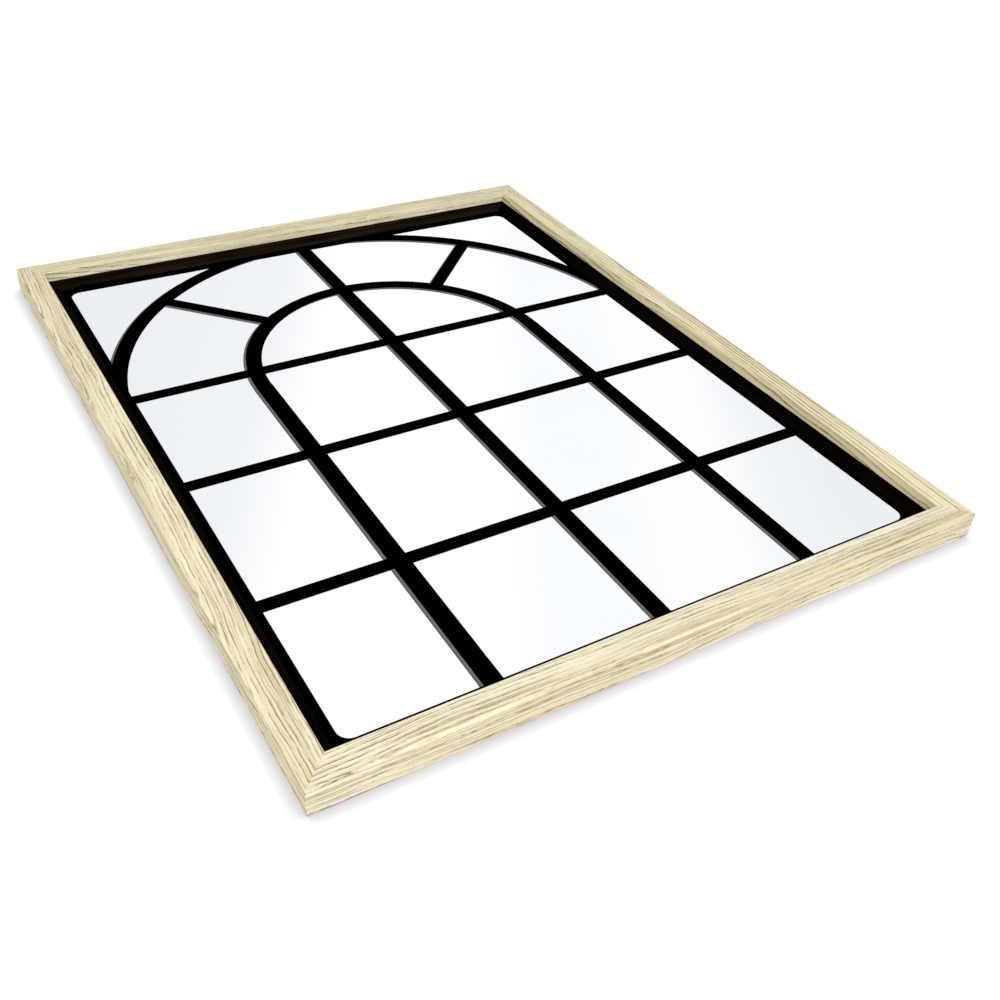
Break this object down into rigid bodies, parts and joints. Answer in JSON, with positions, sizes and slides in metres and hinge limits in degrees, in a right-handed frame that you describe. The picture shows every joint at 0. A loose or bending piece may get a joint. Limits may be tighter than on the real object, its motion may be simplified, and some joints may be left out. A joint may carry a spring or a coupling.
{
  "type": "window mirror",
  "caption": "Rectangular wall mirror in a deep pale wooden frame, its glass printed with the glazing bars of an arched window, with recessed strap hangers on the back.",
  "frame": {"origin": "middle of the frame's back, on the plane that the mirror lies or hangs against", "axes": "+X to the window's right, +Y to the top of its arch, +Z out of the mirror's face"},
  "size_m": [0.6, 0.75, 0.025],
  "materials": {
    "oak": "pale natural oak, matt lacquer",
    "slip": "black-brown stained, satin",
    "mirror_glass": "polished mirror glass",
    "silvering": "silver film under grey backing paint, matt on the back",
    "black_ink": "black print, satin",
    "grey_ink": "grey print, satin",
    "dark_ink": "dark grey print, satin",
    "fibreboard": "raw brown fibreboard, matt",
    "nail_steel": "bare rolled steel",
    "point_steel": "bare rolled steel",
    "zinc_steel": "bright zinc plate"
  },
  "bodies": {
    "frame": {"top_rail": "oak", "bottom_rail": "oak", "left_stile": "oak", "right_stile": "oak", "top_slip": "slip", "bottom_slip": "slip", "left_slip": "slip", "right_slip": "slip", "mirror_glass": "mirror_glass", "silvering": "silvering", "window_print": "black_ink", "shade_band": "grey_ink", "shade_outline": "dark_ink", "backing_board": "fibreboard", "corner_nails": "nail_steel", "framer_points": "point_steel", "hanger_screws": "zinc_steel", "left_hanger_strap": "zinc_steel", "right_hanger_strap": "zinc_steel"},
    "left_ring": {"left_hanger_ring": "zinc_steel"},
    "right_ring": {"right_hanger_ring": "zinc_steel"}
  },
  "joints": [
    {"name": "left_ring_hinge", "type": "hinge", "parent": "frame", "child": "left_ring", "pos_m": [-0.2905, 0.18, 0.0026], "axis": [-1, 0, 0], "range_deg": [0, 170]},
    {"name": "right_ring_hinge", "type": "hinge", "parent": "frame", "child": "right_ring", "pos_m": [0.2905, 0.18, 0.0026], "axis": [-1, 0, 0], "range_deg": [0, 170]}
  ]
}
